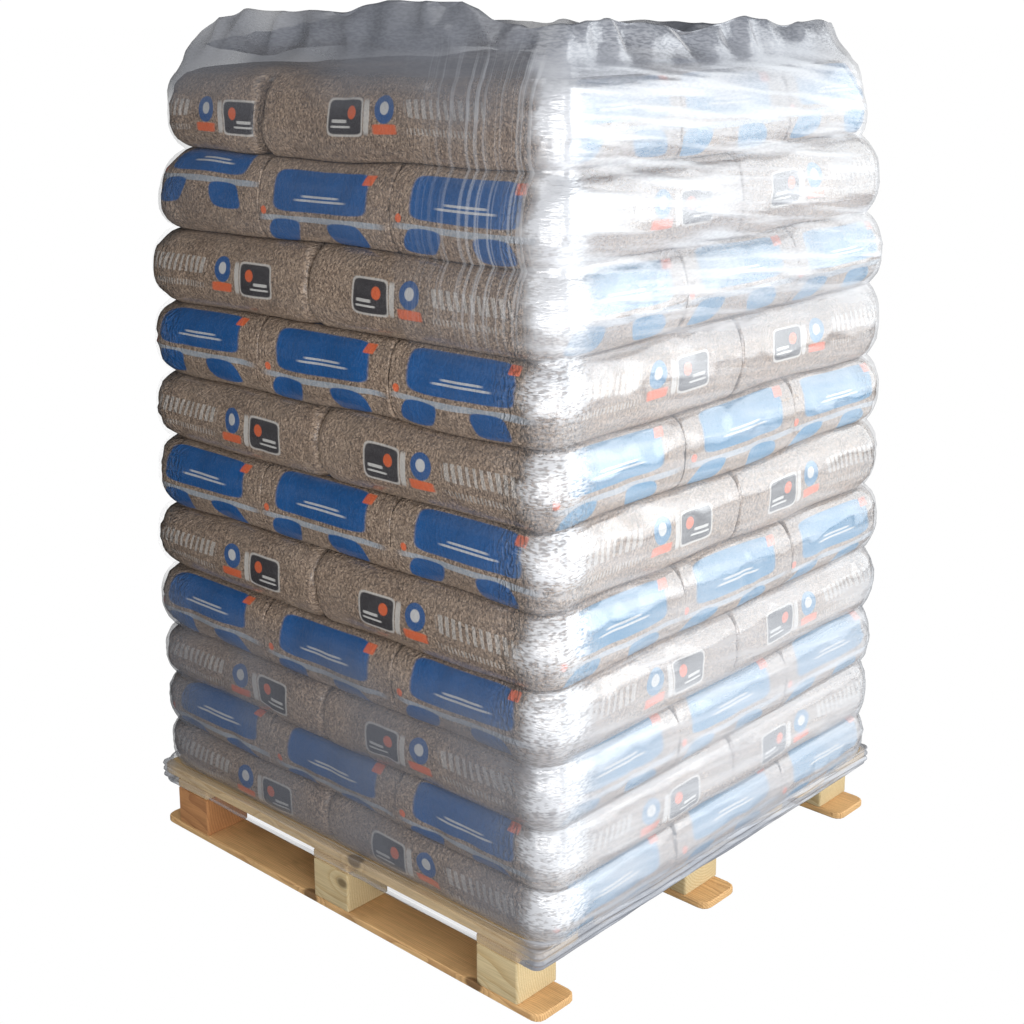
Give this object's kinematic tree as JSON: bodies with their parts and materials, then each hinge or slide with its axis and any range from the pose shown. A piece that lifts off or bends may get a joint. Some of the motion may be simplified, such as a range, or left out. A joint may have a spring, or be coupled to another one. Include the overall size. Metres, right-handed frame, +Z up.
{
  "type": "pallet of sacks",
  "caption": "Wooden block pallet carrying a square load of flat pellet sacks in crossed layers, held together by stretch wrap.",
  "frame": {"origin": "centre of the pallet's footprint, on the floor", "axes": "+Z up, X along the bottom skids, front of the load towards -Y"},
  "size_m": [1.1906, 1.1436, 1.8035],
  "materials": {
    "skid_wood": "sawn pine, weathered warm brown",
    "block_wood": "sawn pale pine with end grain",
    "board_wood": "sawn pine boards",
    "sack_film": "clear film sack, brown wood pellets showing through",
    "stretch_film": "clear stretch film, wrinkled, milky where it lies in several turns"
  },
  "bodies": {
    "root": {"skid_front": "skid_wood", "skid_middle": "skid_wood", "skid_rear": "skid_wood", "block_front_left": "block_wood", "block_front_middle": "block_wood", "block_front_right": "block_wood", "block_middle_left": "block_wood", "block_middle_middle": "block_wood", "block_middle_right": "block_wood", "block_rear_left": "block_wood", "block_rear_middle": "block_wood", "block_rear_right": "block_wood", "stringer_left": "board_wood", "stringer_middle": "board_wood", "stringer_right": "board_wood", "deck_board_1": "board_wood", "deck_board_2": "board_wood", "deck_board_3": "board_wood", "deck_board_4": "board_wood", "deck_board_5": "board_wood", "deck_board_6": "board_wood", "deck_board_7": "board_wood", "sack_layer_01": "sack_film", "sack_layer_02": "sack_film", "sack_layer_03": "sack_film", "sack_layer_04": "sack_film", "sack_layer_05": "sack_film", "sack_layer_06": "sack_film", "sack_layer_07": "sack_film", "sack_layer_08": "sack_film", "sack_layer_09": "sack_film", "sack_layer_10": "sack_film", "sack_layer_11": "sack_film", "stretch_wrap": "stretch_film"}
  },
  "joints": []
}
